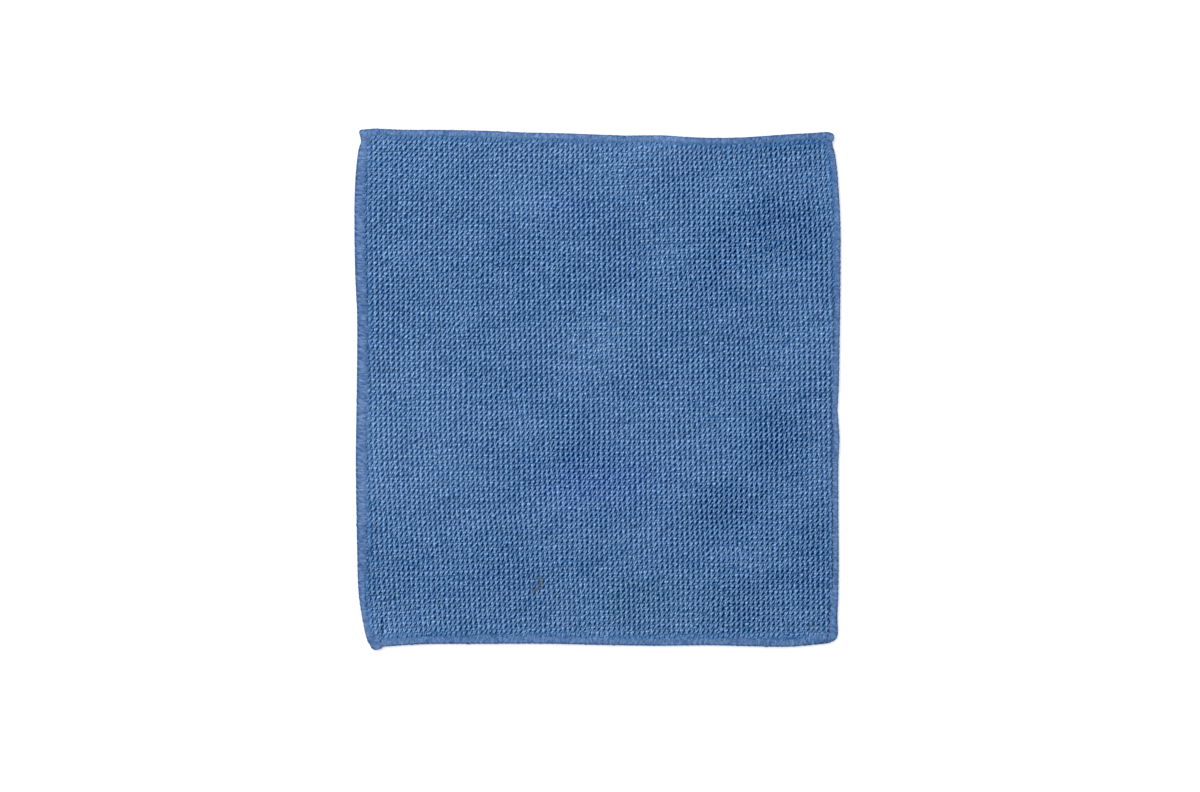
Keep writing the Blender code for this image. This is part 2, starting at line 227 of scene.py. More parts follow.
def read_middle():
    """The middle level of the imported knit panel, as a grid."""
    tree = tree_of("knit_panel")
    xs = np.arange(-LEVEL_REACH_X, LEVEL_REACH_X + 1, LEVEL_STEP)
    ys = np.arange(-LEVEL_REACH_Y, LEVEL_REACH_Y + 1, LEVEL_STEP)
    middle = np.full((len(xs), len(ys)), np.nan)
    for i, x in enumerate(xs):
        for j, y in enumerate(ys):
            top, under = top_and_underside(tree, x, y)
            if top is not None:
                middle[i, j] = (top + under) / 2
    return soften(fill_outwards(middle), LEVEL_BLUR)


MIDDLE = read_middle()


def read_grid(grid, x, y):
    """Read a grid between its points."""
    across = np.clip((x + LEVEL_REACH_X) / LEVEL_STEP, 0, grid.shape[0] - 1.001)
    up = np.clip((y + LEVEL_REACH_Y) / LEVEL_STEP, 0, grid.shape[1] - 1.001)
    i, j = across.astype(int), up.astype(int)
    s, t = across - i, up - j
    left = grid[i, j] * (1 - t) + grid[i, j + 1] * t
    right = grid[i + 1, j] * (1 - t) + grid[i + 1, j + 1] * t
    return left * (1 - s) + right * s


def bump(row, x, y):
    """1 in the middle of a long soft bump and 0 outside it."""
    turn = math.radians(row.turn_deg)
    along = (x - row.x) * math.cos(turn) + (y - row.y) * math.sin(turn)
    across = (y - row.y) * math.cos(turn) - (x - row.x) * math.sin(turn)
    reach = np.minimum(np.hypot(along / row.long, across / row.wide) * 2, 1.0)
    return np.cos(reach * np.pi / 2) ** 2


def levels(x, y):
    """The knit's underside and top at each place, creases included."""
    middle = read_grid(MIDDLE, x, y)
    for crease in CREASES:
        middle = middle + crease.high * bump(crease, x, y)
    low = np.maximum(middle - KNIT_THICKNESS / 2, 0.0)
    return low, low + KNIT_THICKNESS


# ---- The overlock runs' edges, read from their solids

INNER_HEIGHTS = (0.45, 0.8, 1.1, 1.7, 2.0, 2.35)
CAST_FROM = 260.0


def band_at(tree, place, axis, side):
    """The outer edge and inner border of a run at a place along it. axis is 0 for a run up one side and 1
    for one along the bottom or top; side is -1 for the left or bottom and 1 for the right or top."""

    def point(across, z):
        return (across, place, z) if axis == 0 else (place, across, z)

    outwards = np.zeros(3)
    outwards[axis] = side
    outer = met(tree, point(side * CAST_FROM, RIM_LEVEL), -outwards)
    inner = [met(tree, point(0.0, z), outwards) for z in INNER_HEIGHTS]
    nearest = min(abs(found[axis]) for found in inner if found is not None)
    return outer[:2], np.array(point(side * nearest, 0.0)[:2])


Run = namedtuple("Run", "outer inner top under reach")
# The share of a packed band that its thread covers, at places along it. The rest sinks between stitches
LEFT_COVER = ((-185.0, 1.1), (-180.0, 0.50), (-165.0, 0.52), (-145.0, 0.72), (-115.0, 1.08))
TOP_COVER = ((-176.0, 1.1), (-162.0, 0.72), (160.0, 0.72), (174.0, 1.1))
BOTTOM_COVER = ((145.0, 0.84), (168.0, 1.10))
RIGHT_COVER = ((-185.0, 1.05), (-168.0, 0.95), (-140.0, 0.68), (160.0, 0.68), (180.0, 1.0))
# How far inside the ends of its solid each run's thread starts and stops
LEFT_ENDS, TOP_ENDS, BOTTOM_RIGHT_ENDS = (0.15, 0.1), (0.5, 0.5), (0.1, 0.1)
STATION = 1.0
# The rounded corner, and a place on each side of it where the inner border runs straight
CORNER_RADIUS = 1.2
CORNER_TURNS = 14
CORNER_CLEARANCE = 2.0
BESIDE_CORNER_X, BESIDE_CORNER_Y = 150.0, -170.0
CORNER_CAST_FROM = 60.0


def span(low, high):
    """Even stations from one place to another."""
    return np.linspace(low, high, int(round((high - low) / STATION)) + 1)


def cover_at(table, places):
    """Read a table of covers at places along its run."""
    return list(np.interp(places, *zip(*table)))


def finished_run(tree, pairs, cover):
    """A run's edges, with its levels and how far along it each place is."""
    outer = np.array([pair[0] for pair in pairs])
    inner = np.array([pair[1] for pair in pairs])
    middle = (outer + inner) / 2
    inner = outer + (inner - outer) * np.reshape(cover, (-1, 1))
    top, under = np.array([top_and_underside(tree, x, y) for x, y in middle]).T
    steps = np.hypot(*np.diff(middle, axis=0).T)
    reach = np.concatenate([[0.0], np.cumsum(steps)])
    return Run(outer, inner, top, under, reach)


def node_span(node, axis):
    """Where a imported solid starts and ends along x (0) or y (1)."""
    low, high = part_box(node)
    return low[axis] / MM, high[axis] / MM


def straight_run(node, axis, side, ends, table):
    """The run down the left side or along the top."""
    tree = tree_of(node)
    low, high = node_span(node, 1 - axis)
    places = span(low + ends[0], high - ends[1])
    pairs = [band_at(tree, place, axis, side) for place in places]
    return finished_run(tree, pairs, cover_at(table, places))


def bottom_right_run():
    """The run along the bottom, round the corner and up the right side."""
    tree = tree_of("overlock_bottom_right")
    start = node_span("overlock_bottom_right", 0)[0]
    finish = node_span("overlock_bottom_right", 1)[1]
    corner_x = band_at(tree, BESIDE_CORNER_Y, 0, 1)[1][0] - CORNER_RADIUS
    corner_y = band_at(tree, BESIDE_CORNER_X, 1, -1)[1][1] + CORNER_RADIUS
    xs = span(start + BOTTOM_RIGHT_ENDS[0], corner_x - CORNER_CLEARANCE)
    ys = span(corner_y + CORNER_CLEARANCE, finish - BOTTOM_RIGHT_ENDS[1])
    pairs = [band_at(tree, x, 1, -1) for x in xs]
    for turn in np.linspace(0.0, math.pi / 2, CORNER_TURNS):
        way = np.array((math.sin(turn), -math.cos(turn)))
        corner = np.array((corner_x, corner_y))
        far = corner + way * CORNER_CAST_FROM
        outer = met(tree, (far[0], far[1], RIM_LEVEL), (-way[0], -way[1], 0.0))
        pairs.append((outer[:2], corner + way * CORNER_RADIUS))
    pairs += [band_at(tree, y, 0, 1) for y in ys]
    below, beside = cover_at(BOTTOM_COVER, xs), cover_at(RIGHT_COVER, ys)
    between = list(np.linspace(below[-1], beside[0], CORNER_TURNS))
    return finished_run(tree, pairs, below + between + beside)


LEFT = straight_run("overlock_left", 0, -1, LEFT_ENDS, LEFT_COVER)
TOP = straight_run("overlock_top", 1, 1, TOP_ENDS, TOP_COVER)
BOTTOM_RIGHT = bottom_right_run()


def border_distance(x, y):
    """How far inside the overlock's inner borders each place is."""
    corner = np.argmax(BOTTOM_RIGHT.inner[:, 0])
    bottom, right = BOTTOM_RIGHT.inner[:corner], BOTTOM_RIGHT.inner[corner:]
    from_left = x - np.interp(y, LEFT.inner[:, 1], LEFT.inner[:, 0])
    from_right = np.interp(y, right[:, 1], right[:, 0]) - x
    from_bottom = y - np.interp(x, bottom[:, 0], bottom[:, 1])
    from_top = np.interp(x, TOP.inner[:, 0], TOP.inner[:, 1]) - y
    return np.minimum(np.minimum(from_left, from_right), np.minimum(from_bottom, from_top))


# The overlock draws the knit in: between these two distances from its inner border the stitches pass from
# held to free. A held one is flat, plain and close to its neighbours
HELD_FROM, HELD_TO = -1.0, 6.5
HELD_HEIGHT, HELD_LIFT = 0.86, 0.58  # its even height, and how light its painted shade leaves it
HELD_SHARE = 0.15  # how much of its own form it keeps
HELD_WAIST = 0.44  # its least half width, as a share of the wale pitch


def freedom(x, y):
    """1 where the knit stands free and 0 where the overlock holds it flat."""
    share = np.clip((border_distance(x, y) - HELD_FROM) / (HELD_TO - HELD_FROM), 0.0, 1.0)
    return share * share * (3 - 2 * share)


def held(lift, middle, x, y):
    """The lift of stitches off their root, evened out where the overlock holds them."""
    return middle + (lift - middle) * (HELD_SHARE + (1 - HELD_SHARE) * freedom(x, y))


# ---- Joined meshes


def tube(rings, sides):
    """The faces of a closed form of so many rings, each with so many sides. A face is a row of corners,
    and a corner is its vertex and its places around and along the yarn."""
    faces = []
    for r in range(rings - 1):
        for s in range(sides):
            corners = ((r, s), (r, s + 1), (r + 1, s + 1), (r + 1, s))
            faces.append([(ring * sides + side % sides, side, ring) for ring, side in corners])
    for ring, order in ((0, range(sides - 1, -1, -1)), (rings - 1, range(sides))):
        faces.append([(ring * sides + side, side, ring) for side in order])
    return faces


def faces_inwards(points, faces):
    """True if a form's faces look into it."""
    volume = 0.0
    for face in faces:
        a, *rest = [points[corner[0]] for corner in face]
        for b, c in zip(rest, rest[1:]):
            volume += np.dot(a, np.cross(b, c))
    return volume < 0


YARN_SHIFT = (0.0137, 0.0071)  # from one copy to the next, so that no two show the same filaments


def joined_mesh(name, points, faces, yarn_size, cells, marks, material):
    """One object from many copies of a form. points is copies x corners x 3; yarn_size is how far one
    place around and one along the yarn are apart; cells gives each copy its place in the knit; marks are
    values for every corner of every copy, read by the materials."""
    copies, count = points.shape[:2]
    if faces_inwards(points[0], faces):
        faces = [face[::-1] for face in faces]
    sizes = np.array([len(face) for face in faces])
    corners = np.array([corner for face in faces for corner in face])
    vertex = (corners[None, :, 0] + count * np.arange(copies)[:, None]).ravel()
    mesh = bpy.data.meshes.new(name)
    mesh.vertices.add(copies * count)
    mesh.vertices.foreach_set("co", (points * MM).astype(np.float32).ravel())
    mesh.loops.add(len(vertex))
    mesh.loops.foreach_set("vertex_index", vertex.astype(np.int32))
    total = np.tile(sizes, copies)
    mesh.polygons.add(len(total))
    starts = np.concatenate([[0], np.cumsum(total)[:-1]])
    mesh.polygons.foreach_set("loop_start", starts.astype(np.int32))
    mesh.polygons.foreach_set("loop_total", total.astype(np.int32))
    yarn = np.empty((copies, len(corners), 2))
    yarn[:] = corners[None, :, 1:] * np.array(yarn_size) * MM
    yarn += np.arange(copies)[:, None, None] * np.array(YARN_SHIFT)
    cell = np.repeat(np.asarray(cells, float)[:, None, :], len(corners), axis=1)
    for layer, places in (("yarn", yarn), ("cell", cell)):
        uv = mesh.uv_layers.new(name=layer)
        uv.data.foreach_set("uv", places.astype(np.float32).ravel())
    mesh.update(calc_edges=True)
    for mark, values in marks.items():
        attribute = mesh.attributes.new(mark, "FLOAT", "POINT")
        spread = np.broadcast_to(values, (copies, count))
        attribute.data.foreach_set("value", spread.astype(np.float32).ravel())
    mesh.validate()
    mesh.shade_smooth()
    mesh.materials.append(material)
    piece = bpy.data.objects.new(name, mesh)
    bpy.context.scene.collection.objects.link(piece)
    return piece


# ---- Colours and materials


def linear(hex_colour):
    """The linear values of an sRGB colour such as #4d6f9d."""
    shares = [int(hex_colour[i : i + 2], 16) / 255 for i in (1, 3, 5)]
    return [s / 12.92 if s <= 0.04045 else ((s + 0.055) / 1.055) ** 2.4 for s in shares] + [1.0]


def fill_sockets(tree, node, inputs):
    """Give a node's sockets their values, or link them to other nodes' outputs."""
    for socket, value in dict(inputs).items():
        if isinstance(value, bpy.types.NodeSocket):
            tree.links.new(value, node.inputs[socket])
        else:
            node.inputs[socket].default_value = value


def add(tree, kind, inputs=(), **settings):
    """Add a node with its settings, and fill its sockets."""
    node = tree.nodes.new("ShaderNode" + kind)
    for name, value in settings.items():
        setattr(node, name, value)
    fill_sockets(tree, node, inputs)
    return node


def new_material(name):
    """A new material, with its node tree and its shader."""
    material = bpy.data.materials.new(name)
    material.use_nodes = True
    tree = material.node_tree
    return material, tree, tree.nodes["Principled BSDF"]


SOILED = (("brown_soil", "#585b5e"), ("green_soil", "#466475"))
# The grey that the tone mark adds or takes away: for patches, streaks and the creases' painted light and
# shade
TONE_AND_PAINTED_SHADE_GREY = "#6c829d"
BLUE_CAST = (-0.001, -0.005, 0.011)  # what one share of cast adds, as linear values
# Split microfibre is a few hundredths of a millimetre thick, too fine to show. So its filaments are drawn
# this wide and long, and the tufts that they form about half a millimetre across
FILAMENT_WIDE, FILAMENT_LONG = 0.34, 3.2
SPECKS_FROM, SPECKS_TO = 0.7, 1.3  # the range of tufts and filaments together that shows
FLUFF_HIGH, FLUFF_STRENGTH = 0.2, 0.5


def yarn_material(name, root, shade, crown, finish, tuft, depth):
    """Yarn with painted shade: painted dark where it dives into the fabric and painted light on its crown.
    Each stitch takes the dye a little differently, and its filaments show as fine lines along it. depth is
    how much its tufts, each half of the length tuft across, lighten and darken it."""
    material, tree, shader = new_material(name)
    lift = add(tree, "Attribute", attribute_name="lift").outputs["Fac"]
    tone = add(tree, "Attribute", attribute_name="tone").outputs["Fac"]
    cast = add(tree, "Attribute", attribute_name="cast").outputs["Fac"]
    place = add(tree, "TexCoord").outputs["Object"]
    yarn = add(tree, "UVMap", uv_map="yarn").outputs["UV"]

    # Painted shade: the lift mark runs from the root colour, dark where the yarn dives, to the crown
    # colour, painted light
    painted_shade_ramp = add(tree, "ValToRGB", {"Fac": lift})
    stops = painted_shade_ramp.color_ramp.elements
    stops.new(0.5)
    for stop, colour in zip(stops, (root, shade, crown)):
        stop.color = linear(colour)

    tufts = {"Vector": place, "Scale": 1 / (tuft * MM), "Detail": 2.0, "Roughness": 0.6}
    fluff = add(tree, "TexNoise", tufts).outputs["Fac"]
    drawn_out = (1 / (FILAMENT_WIDE * MM), 1 / (FILAMENT_LONG * MM), 1.0)
    lines = add(tree, "Mapping", {"Vector": yarn, "Scale": drawn_out}).outputs["Vector"]
    filament = add(tree, "TexNoise", {"Vector": lines, "Scale": 1.0, "Detail": 1.0}).outputs["Fac"]
    both = add(tree, "Math", {0: fluff, 1: filament}, operation="ADD").outputs[0]
    limits = {1: SPECKS_FROM, 2: SPECKS_TO, 3: 1 - depth, 4: 1 + depth}
    specks = add(tree, "MapRange", {"Value": both, **limits}).outputs[0]
    mottled = {0: painted_shade_ramp.outputs["Color"], "Scale": specks}
    speckled = add(tree, "VectorMath", mottled, operation="SCALE").outputs[0]

    # Tone over 1 adds grey light and under 1 takes it away: patches, course streaks, and the creases'
    # painted light and shade. Here and there the blue shifts a little
    more = add(tree, "Math", {0: tone, 1: 1.0}, operation="SUBTRACT").outputs[0]
    tone_and_painted_shade = {0: linear(TONE_AND_PAINTED_SHADE_GREY)[:3], "Scale": more}
    grey = add(tree, "VectorMath", tone_and_painted_shade, operation="SCALE").outputs[0]
    blue = add(tree, "VectorMath", {0: BLUE_CAST, "Scale": cast}, operation="SCALE").outputs[0]
    toned = add(tree, "VectorMath", {0: speckled, 1: grey}, operation="ADD").outputs[0]
    colour = add(tree, "VectorMath", {0: toned, 1: blue}, operation="ADD").outputs[0]

    for mark, hex_colour in SOILED:
        share = add(tree, "Attribute", attribute_name=mark).outputs["Fac"]
        # Sockets 6 and 7 are the two colours of a mix of colours, and output 2 is what they give
        stained = {"Factor": share, 6: colour, 7: linear(hex_colour)}
        colour = add(tree, "Mix", stained, data_type="RGBA").outputs[2]

    fuzz = {"Height": both, "Strength": FLUFF_STRENGTH, "Distance": FLUFF_HIGH * MM}
    normal = add(tree, "Bump", fuzz).outputs["Normal"]
    fill_sockets(tree, shader, {"Base Color": colour, "Normal": normal, **finish})
    return material


MICROFIBRE_FINISH = {
    "Roughness": 0.9,
    "IOR": 1.55,
    "Specular IOR Level": 0.1,
    "Sheen Weight": 0.05,
    "Sheen Roughness": 0.5,
    "Sheen Tint": linear("#a9c2ea"),
}

# Split polyester and polyamide microfibre, warp knitted and left matt: painted light on soft crowns over
# deep blue roots painted with shade, with only a breath of sheen where it is seen along the surface
KNIT_YARN = yarn_material(
    "warp_knitted_split_microfibre",
    root="#17457a",
    shade="#36669c",
    crown="#aacffa",
    finish=MICROFIBRE_FINISH,
    tuft=0.9,
    depth=0.36,
)

# The same yarn as it is laid in under the stitches, painted dark as painted shade since little light
# reaches it there, and without gloss
GROUND_YARN = yarn_material(
    "laid_in_ground_microfibre",
    root="#14396c",
    shade="#153d71",
    crown="#5278aa",
    finish={"Roughness": 0.95, "IOR": 1.55, "Specular IOR Level": 0.0},
    tuft=1.2,
    depth=0.2,
)

# Textured polyester overlock thread, bulked so that it covers the rim: even, close and a little lighter,
# with painted shade on its legs' sides, dives and rim
SEWING_THREAD = yarn_material(
    "textured_polyester_overlock_thread",
    root="#1d4580",
    shade="#406294",
    crown="#7292be",
    finish={**MICROFIBRE_FINISH, "Roughness": 0.82},
    tuft=1.6,
    depth=0.2,
)


def patch_share(patch, x, y):
    """1 in the middle of a patch and 0 outside it."""
    reach = np.minimum(np.hypot((x - patch.x) / patch.wide, (y - patch.y) / patch.high), 1.0)
    return np.cos(reach * np.pi / 2) ** 2


def marks_at(x, y, copy_tone, lift):
    """The values that the materials read: tone, with the creases' painted light and shade in it, lift off
    the root, which sets the painted shade, cast and soil.
    """
    tone = np.broadcast_to(copy_tone, x.shape).copy()
    for patch in PATCHES:
        tone += patch.tone * patch_share(patch, x, y)
    # The creases' painted light on their ridges and painted shade in their troughs go into the tone
    for crease in CREASES:
        tone += CREASE_PAINTED_LIGHT * crease.high * bump(crease, x, y)
    cast = sum(patch.tone * patch_share(patch, x, y) for patch in CASTS)
    marks = {"tone": tone, "lift": lift, "cast": cast}
    for name, soils in (("brown_soil", BROWN_SOIL), ("green_soil", GREEN_SOIL)):
        marks[name] = sum(soil.strength * bump(soil, x, y) for soil in soils).clip(0.0, 1.0)
    return marks


# ---- The knit's lattice


def across_table(table, x, y):
    """Read a table of three rows and three columns smoothly at any place on the cloth."""
    s = x / (FLAT_SIZE[0] / MM / 2)
    t = y / (FLAT_SIZE[1] / MM / 2)
    columns = (s * (s - 1) / 2, 1 - s * s, s * (s + 1) / 2)
    rows = (t * (t + 1) / 2, 1 - t * t, t * (t - 1) / 2)
    return sum(table[r][c] * rows[r] * columns[c] for r in range(3) for c in range(3))


DRIFT_WAVES = 9


def uneven(x, y, amount, length):
    """A smooth random drift, as a loose knit has: so much, in waves of about this length."""
    drift = np.zeros_like(x)
    for _ in range(DRIFT_WAVES):
        turn, phase = RANDOM.uniform(0, 2 * np.pi, 2)
        stretch = length * RANDOM.uniform(0.6, 1.6)
        drift += np.sin((x * math.cos(turn) + y * math.sin(turn)) * 2 * np.pi / stretch + phase)
    return drift * amount / math.sqrt(DRIFT_WAVES)


def knit_lattice():
    """The middle of every stitch, its course's direction and its place in the count."""
    i, j = np.meshgrid(np.arange(WALES), np.arange(COURSES), indexing="ij")
    flat_x = (i - (WALES - 1) / 2) * WALE_PITCH
    flat_y = (j - (COURSES - 1) / 2) * COURSE_PITCH
    lean = np.tan(np.radians(across_table(WALE_LEAN, flat_x, flat_y)))
    rise = np.tan(np.radians(across_table(COURSE_RISE, flat_x, flat_y)))
    shift = np.cumsum(lean, axis=1) * COURSE_PITCH
    climb = np.cumsum(rise, axis=0) * WALE_PITCH
    x = flat_x - (shift - shift[:, [COURSES // 2]])
    y = flat_y + (climb - climb[[WALES // 2], :])
    x += uneven(flat_x, flat_y, 0.45, 90.0) + uneven(flat_x, flat_y, 0.10, 18.0)
    y += uneven(flat_x, flat_y, 0.50, 100.0) + uneven(flat_x, flat_y, 0.12, 16.0)
    turn = np.arctan(rise)
    return x.ravel(), y.ravel(), turn.ravel(), i.ravel(), j.ravel()


STITCH_X, STITCH_Y, STITCH_TURN, STITCH_WALE, STITCH_COURSE = knit_lattice()
KEPT = border_distance(STITCH_X, STITCH_Y) > -KNIT_TUCK


STREAK_LENGTHS = (11.0, 24.0, 60.0)  # in wales
STREAK_TONE, STITCH_TONE_SPREAD = 0.036, 0.015


def course_streaks():
    """Light and dark lengths along each course, in shares of the tone."""
    streaks = np.zeros((WALES, COURSES))
    at = np.arange(WALES)
    for course in range(COURSES):
        for length in STREAK_LENGTHS:
            phase = RANDOM.uniform(0, 2 * np.pi)
            stretch = length * RANDOM.uniform(0.7, 1.4)
            streaks[:, course] += STREAK_TONE * np.sin(at * 2 * np.pi / stretch + phase)
    return streaks.ravel()


# How wide each stitch is against its usual width. Where they are narrow the gaps between them run together
STITCH_WIDTH = 1.0 + uneven(STITCH_X, STITCH_Y, 0.055, 75.0)
STITCH_TONE = 1.0 + course_streaks() + RANDOM.normal(0.0, STITCH_TONE_SPREAD, WALES * COURSES)


# A face stitch, from its root below to the next course above: how far along it each ring is, how far that
# ring leans aside, its half width, and how high its crown is
StitchRing = namedtuple("StitchRing", "along aside half_wide crown")
FACE_STITCH = rows_of(
    StitchRing,
    (-0.57, -0.16, 0.42, 0.66),
    (-0.37, -0.13, 0.52, 0.87),
    (-0.05, 0.00, 0.26, 0.98),
    (0.27, 0.03, 0.52, 0.96),
    (0.62, 0.06, 0.46, 0.60),
)
# Its section: two strands side by side, as shares of the half width and of the crown
FACE_SECTION = (
    (-1.0, 0.0),
    (-0.87, 0.48),
    (-0.48, 0.95),
    (0.0, 0.74),
    (0.48, 1.0),
    (0.88, 0.47),
    (1.0, 0.0),
)
FACE_YARN_SIZE = (0.5, 1.1)
WAIST_RING = 2
# How far its waist lies up or down, and one side of it against the other
WAIST_DRIFT, WAIST_TILT = 0.12, 0.22
STITCH_SLIP = 0.17  # how far each stitch slips up or down beside its neighbours
# How far the stitches lean to the right, in degrees, laid out as the lean of the wales is, and how much
# one differs from the next
FACE_LEAN = ((21.0, 17.0, 11.0), (16.5, 13.5, 13.5), (13.0, 13.0, 17.0))
LEAN_SPREAD = 2.0
FACE_HEIGHT, HEIGHT_SPREAD = 0.97, 0.01
LEAST_HEIGHT = 0.05  # over the surface that the cloth lies on
# Its strands part here and there, so that specks rise and sink on its upper side; the painted shade makes
# the risen ones lighter and the sunk ones darker
SPECK_HEIGHT, SPECK_LIFT = 0.03, 0.10
SPECKS_ABOVE = 0.4
PLAIN_LIFT = 0.845

# Where four stitches meet, the knit is pushed about a little: one stitch's gain is its neighbour's loss
CORNER_SPREAD = 0.27
CORNER_DRIFT = RANDOM.normal(0.0, CORNER_SPREAD, (2, WALES + 1, COURSES + 1))


def ring_column(rings, name):
    """One column of a table of rings, laid out as copies x rings x sides."""
    return np.array([getattr(ring, name) for ring in rings])[None, :, None]


def side_column(section, column):
    """One column of a section, laid out as copies x rings x sides."""
    return np.array([point[column] for point in section])[None, None, :]


def each(values):
    """A value for each copy, laid out as copies x rings x sides."""
    return values[:, None, None]


def drifted(chosen, a, b):
    """Stitches' points, moved as the corners of each stitch are."""
    across, along = a / WALE_PITCH + 0.5, b / COURSE_PITCH + 0.5
    wale, course = STITCH_WALE[chosen], STITCH_COURSE[chosen]
    for right, wide in ((0, 1 - across), (1, across)):
        for upper, high in ((0, 1 - along), (1, along)):
            corner = CORNER_DRIFT[:, wale + right, course + upper][:, :, None, None]
            a = a + corner[0] * wide * high
            b = b + corner[1] * wide * high
    return a, b


def tucked(x, y, middle_x, middle_y):
    """Stitches' points, drawn back where they would reach out through the overlock."""
    deep, middle_deep = -border_distance(x, y), -border_distance(middle_x, middle_y)
    room = (TUCK_LIMIT - middle_deep) / np.maximum(deep - middle_deep, 0.01)
    share = np.where(deep > TUCK_LIMIT, room, 1.0).clip(0.0, 1.0)
    return middle_x + (x - middle_x) * share, middle_y + (y - middle_y) * share


def fine_noise(shape):
    """Random values for the points of each stitch that even out over a few neighbouring points."""
    noise = RANDOM.normal(0.0, 1.0, shape)
    padded = np.pad(noise, ((0, 0), (1, 1), (1, 1)), mode="edge")
    rings, sides = shape[1:]
    near = sum(padded[:, r : r + rings, s : s + sides] for r in range(3) for s in range(3))
    return noise - near / 9


def placed(chosen, a, b):
    """Where points of the chosen stitches lie on the cloth, from their places along course and wale."""
    turn = each(STITCH_TURN[chosen])
    x = each(STITCH_X[chosen]) + a * np.cos(turn) - b * np.sin(turn)
    y = each(STITCH_Y[chosen]) + a * np.sin(turn) + b * np.cos(turn)
    return x, y


def stitch_mesh(name, chosen, places, lift, yarn_size, material):
    """One object from the chosen stitches. places are their points' x, y and z."""
    count, rings, sides = places[0].shape
    points = np.stack(places, axis=-1).reshape(count, rings * sides, 3)
    tone = STITCH_TONE[chosen][:, None]
    marks = marks_at(points[:, :, 0], points[:, :, 1], tone, lift.reshape(count, -1))
    cells = np.stack((STITCH_WALE[chosen], STITCH_COURSE[chosen]), axis=-1)
    return joined_mesh(name, points, tube(rings, sides), yarn_size, cells, marks, material)


def face_stitches(name, chosen, material):
    """Plump stitches that lean to the right, each over the root of the next course."""
    along = ring_column(FACE_STITCH, "along") * COURSE_PITCH
    aside = ring_column(FACE_STITCH, "aside") * WALE_PITCH
    half = ring_column(FACE_STITCH, "half_wide") * WALE_PITCH
    crown = ring_column(FACE_STITCH, "crown")
    across, rise = side_column(FACE_SECTION, 0), side_column(FACE_SECTION, 1)
    middle_x, middle_y = each(STITCH_X[chosen]), each(STITCH_Y[chosen])

    def varied(middle, spread):
        return each(RANDOM.normal(middle, spread, len(chosen)))

    lean = across_table(FACE_LEAN, middle_x, middle_y)
    lean = np.tan(np.radians(lean + varied(0.0, LEAN_SPREAD)))
    height = varied(FACE_HEIGHT, HEIGHT_SPREAD)
    half = half * each(STITCH_WIDTH[chosen])
    # The overlock crowds the stitches beside it, so that the gaps between them close
    loose = freedom(middle_x, middle_y)
    half = half + (np.maximum(half, HELD_WAIST * WALE_PITCH) - half) * (1 - loose)
    a, b = drifted(chosen, aside + across * half + lean * along, along + 0 * across)
    waist = (np.arange(len(FACE_STITCH)) == WAIST_RING)[None, :, None]
    b = b + waist * (varied(0.0, WAIST_DRIFT) + varied(0.0, WAIST_TILT) * across)
    b = b + varied(0.0, STITCH_SLIP)
    specks = fine_noise(b.shape) * (rise > SPECKS_ABOVE)
    lift = crown * rise * height + SPECK_HEIGHT * specks

    x, y = placed(chosen, a, b)
    x, y = tucked(x, y, middle_x, middle_y)
    low, high = levels(x, y)
    share = FACE_ROOT + (FACE_CROWN - FACE_ROOT) * held(lift, HELD_HEIGHT, x, y)
    z = low + (high - low) * share - PINCH * np.maximum(-border_distance(x, y), 0.0)
    z = np.maximum(z, LEAST_HEIGHT)
    # The colour's lift is painted shade: dark low on the stitch and light on its crown, evened out where
    # the overlock holds it
    lift = (PLAIN_LIFT * held(lift, HELD_LIFT, x, y) + SPECK_LIFT * specks).clip(0.0, 1.0)
    return stitch_mesh(name, chosen, (x, y, z), lift, FACE_YARN_SIZE, material)


BACK_STITCH = rows_of(
    StitchRing,
    (-0.56, 0.0, 0.26, 0.25),
    (0.0, 0.0, 0.44, 1.0),
    (0.56, 0.0, 0.26, 0.25),
)
BACK_SECTION = ((-1.0, 0.0), (0.0, 1.0), (1.0, 0.0))
BACK_YARN_SIZE = (1.2, 2.2)
BACK_LEAN_DEG, BACK_LEAN_SPREAD = -16.0, 5.0
BACK_LIFT_FROM, BACK_LIFT_GAIN = 0.3, 0.6


def back_stitches(name, chosen, material):
    """The flatter stitches of the back, which lean the other way."""
    along = ring_column(BACK_STITCH, "along") * COURSE_PITCH
    aside = ring_column(BACK_STITCH, "aside") * WALE_PITCH
    half = ring_column(BACK_STITCH, "half_wide") * WALE_PITCH
    crown = ring_column(BACK_STITCH, "crown")
    across, rise = side_column(BACK_SECTION, 0), side_column(BACK_SECTION, 1)
    lean = each(np.tan(np.radians(RANDOM.normal(BACK_LEAN_DEG, BACK_LEAN_SPREAD, len(chosen)))))
    x, y = placed(chosen, aside + across * half + lean * along, along + 0 * across)
    lift = crown * rise + 0 * x
    low, high = levels(x, y)
    z = low + (high - low) * (BACK_ROOT + (BACK_CROWN - BACK_ROOT) * lift)
    # Painted shade: dark low on the stitch and lighter on its crown
    lift = BACK_LIFT_FROM + BACK_LIFT_GAIN * lift
    return stitch_mesh(name, chosen, (x, y, z), lift, BACK_YARN_SIZE, material)


# The ground's painted shade: how light it is painted from above, free and under the overlock, and from
# below
GROUND_FREE_LIFT, GROUND_HELD_LIFT, GROUND_BACK_LIFT = 0.5, 1.0, 0.3


